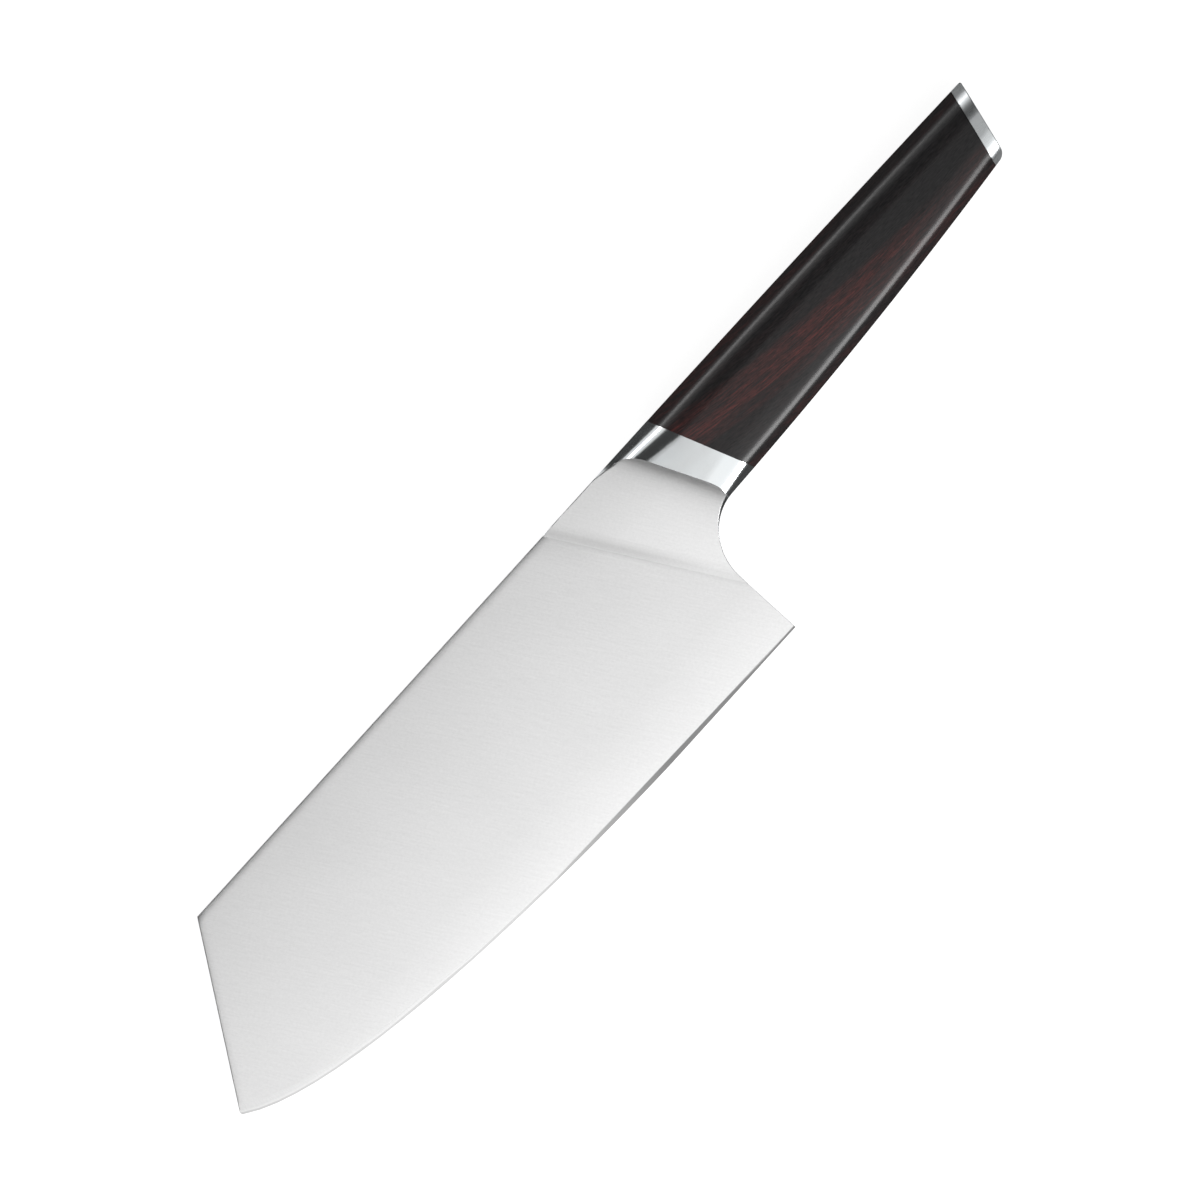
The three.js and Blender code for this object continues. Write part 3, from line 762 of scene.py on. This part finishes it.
def make_handle_block():
    """The wood between bolster and cap, closer to both than the CAD's gap, so that only a fine seam shows."""
    front = slanted_line(JOINT_X - GLUE_GAP + SEAM, JOINT_SLANT)
    back = slanted_line(CAP_X - SEAM, CAP_SLANT)
    half_section = section(WOOD_EASES)
    rings = []
    for step in range(WOOD_STEPS + 1):
        share = step / WOOD_STEPS
        spine_x, belly_x = mix(front[0].x, back[0].x, share), mix(front[1].x, back[1].x, share)
        line = Vector((spine_x, spine_y(spine_x))), Vector((belly_x, belly_y(belly_x)))
        rings.append(ring(line, half_section))
    piece = new_piece("handle_wood", loft(rings), "handle_block", slot="dark_wood")
    shade_smooth(piece, HANDLE_SMOOTH_ANGLE)
    piece.data.materials.append(dark_wood())


def corner_inset(radius, depth):
    """How far a rounded corner has drawn in at a depth behind the cap's face."""
    run = max(0, radius - depth)
    return radius - math.sqrt(radius**2 - run**2)


def cap_ring(depth):
    """A ring of the cap at a depth behind its face, where the rounded corners cut into the facets."""
    spine, belly = slanted_line(BUTT_X - depth / math.cos(math.radians(CAP_SLANT)), CAP_SLANT)
    height = spine.y - belly.y
    spine_inset = corner_inset(CAP_SPINE_ROUND, depth)
    belly_inset = corner_inset(CAP_BELLY_ROUND, depth)
    line = spine.lerp(belly, spine_inset / height), belly.lerp(spine, belly_inset / height)
    spine_corner = shrunk(SPINE_CORNER, 1 - spine_inset / SPINE_CORNER[0])
    belly_corner = shrunk(BELLY_CORNER, max(FACET_LEAST_SHARE, 1 - belly_inset / BELLY_CORNER[0]))
    half_section = section(STEEL_EASES, spine_corner, belly_corner)
    return ring(line, half_section, HALF_THICKNESS - corner_inset(CAP_EDGE_BREAK, depth))


def make_end_cap():
    """The cap, with its outer edge broken all round and rounded at its spine and belly corners."""
    rings = [ring(slanted_line(CAP_X, CAP_SLANT), section(STEEL_EASES))]
    for step in range(CORNER_STEPS + 1):
        rings.append(cap_ring(CAP_BELLY_ROUND * (1 - math.sin(math.pi / 2 * step / CORNER_STEPS))))
    piece = new_piece("butt_cap", loft(rings), "end_cap", slot="polished_steel")
    shade_smooth(piece, HANDLE_SMOOTH_ANGLE)
    piece.data.materials.append(polished_steel("buffed_steel", CAP_ROUGHNESS))


def finish_inner_nodes():
    """The pieces inside the handle keep their CAD shape."""
    fasteners = ("tang_washer", "tang_nut", "cap_peg_upper", "cap_peg_lower")
    finishes = {"tang_bedding": resin(), **dict.fromkeys(fasteners, fastener_steel())}
    for name, material in finishes.items():
        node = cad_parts[name]
        node.data.materials.clear()
        node.data.materials.append(material)


# Studio, in metres. The camera looks straight down from afar, turned by an angle, and the middle of its
# view is given from the heel
FLOOR_HALF_WIDTH = 4.0
FLOOR_GREY = 0.3
FLOOR_GLOW = 0.9
ROOM_GLOW = 0.07
CAMERA_DISTANCE = 6.0
CAMERA_REACH = 18.0
VIEW_WIDTH = 0.2908
VIEW_CENTRE = (-0.02704, -0.02072)
VIEW_TURN = 47.77


def make_floor():
    """A grey floor with a white glow that is seen, also in a reflection, but lights nothing."""
    mesh = bpy.data.meshes.new("floor")
    low, high = -FLOOR_HALF_WIDTH, FLOOR_HALF_WIDTH
    mesh.from_pydata([(low, low, 0), (high, low, 0), (high, high, 0), (low, high, 0)], [], [(0, 1, 2, 3)])
    floor = bpy.data.objects.new("floor", mesh)
    bpy.context.scene.collection.objects.link(floor)
    finish = Finish("pale_floor", Roughness=0.9, Specular_IOR_Level=0.0, Base_Color=(*[FLOOR_GREY] * 3, 1))
    path = finish.add("ShaderNodeLightPath").outputs
    seen = finish.math("MAXIMUM", path["Is Camera Ray"], path["Is Glossy Ray"])
    seen = finish.math("MAXIMUM", seen, path["Is Transmission Ray"])
    finish.feed(finish.shader, "Emission Color", WHITE)
    finish.feed(finish.shader, "Emission Strength", finish.math("MULTIPLY", seen, FLOOR_GLOW))
    mesh.materials.append(finish.material)


def make_lamp(name, angles, ends, distance, radiance):
    """A lamp along the knife between two angles from the vertical, positive on the spine's side."""
    low, high = [math.radians(angle) for angle in angles]
    front, back = ends
    middle = (low + high) / 2
    lamp = bpy.data.lights.new(name, "AREA")
    lamp.shape = "RECTANGLE"
    lamp.size = back - front
    lamp.size_y = 2 * distance * math.tan((high - low) / 2)
    lamp.energy = radiance * math.pi * lamp.size * lamp.size_y
    holder = bpy.data.objects.new(name, lamp)
    holder.location = ((front + back) / 2, distance * math.sin(middle), distance * math.cos(middle))
    holder.rotation_euler = (-middle, 0, 0)
    holder.visible_camera = False
    bpy.context.scene.collection.objects.link(holder)


def make_world():
    world = bpy.data.worlds.new("studio")
    world.use_nodes = True
    background = world.node_tree.nodes["Background"]
    background.inputs["Color"].default_value = WHITE
    background.inputs["Strength"].default_value = ROOM_GLOW
    bpy.context.scene.world = world


def make_camera():
    camera = bpy.data.cameras.new("camera")
    camera.lens = camera.sensor_width * CAMERA_DISTANCE / VIEW_WIDTH
    camera.clip_end = CAMERA_REACH
    holder = bpy.data.objects.new("camera", camera)
    holder.location = HEEL + Vector((*VIEW_CENTRE, CAMERA_DISTANCE))
    holder.rotation_euler = (0, 0, -math.radians(VIEW_TURN))
    bpy.context.scene.collection.objects.link(holder)
    bpy.context.scene.camera = holder


ground_finish = satin_steel()
make_blade(ground_finish)
make_bolster(ground_finish)
make_handle_block()
make_end_cap()
finish_inner_nodes()
make_floor()
make_lamp("overhead_front", angles=(-50, 2.8), ends=(-0.5, 0.115), distance=0.5, radiance=1.6)
make_lamp("overhead_back", angles=(-50, 2.8), ends=(0.115, 0.35), distance=0.5, radiance=0.95)
make_lamp("belly_strip", angles=(-55, -43), ends=(-0.1, 0.25), distance=0.9, radiance=17)
make_lamp("spine_glow", angles=(39, 69), ends=(-0.3, 0.3), distance=0.9, radiance=1.1)
make_lamp("spine_strip", angles=(50.5, 57), ends=(-0.1, 0.16), distance=0.9, radiance=10)
make_world()
make_camera()
bpy.context.scene.view_settings.view_transform = "Standard"
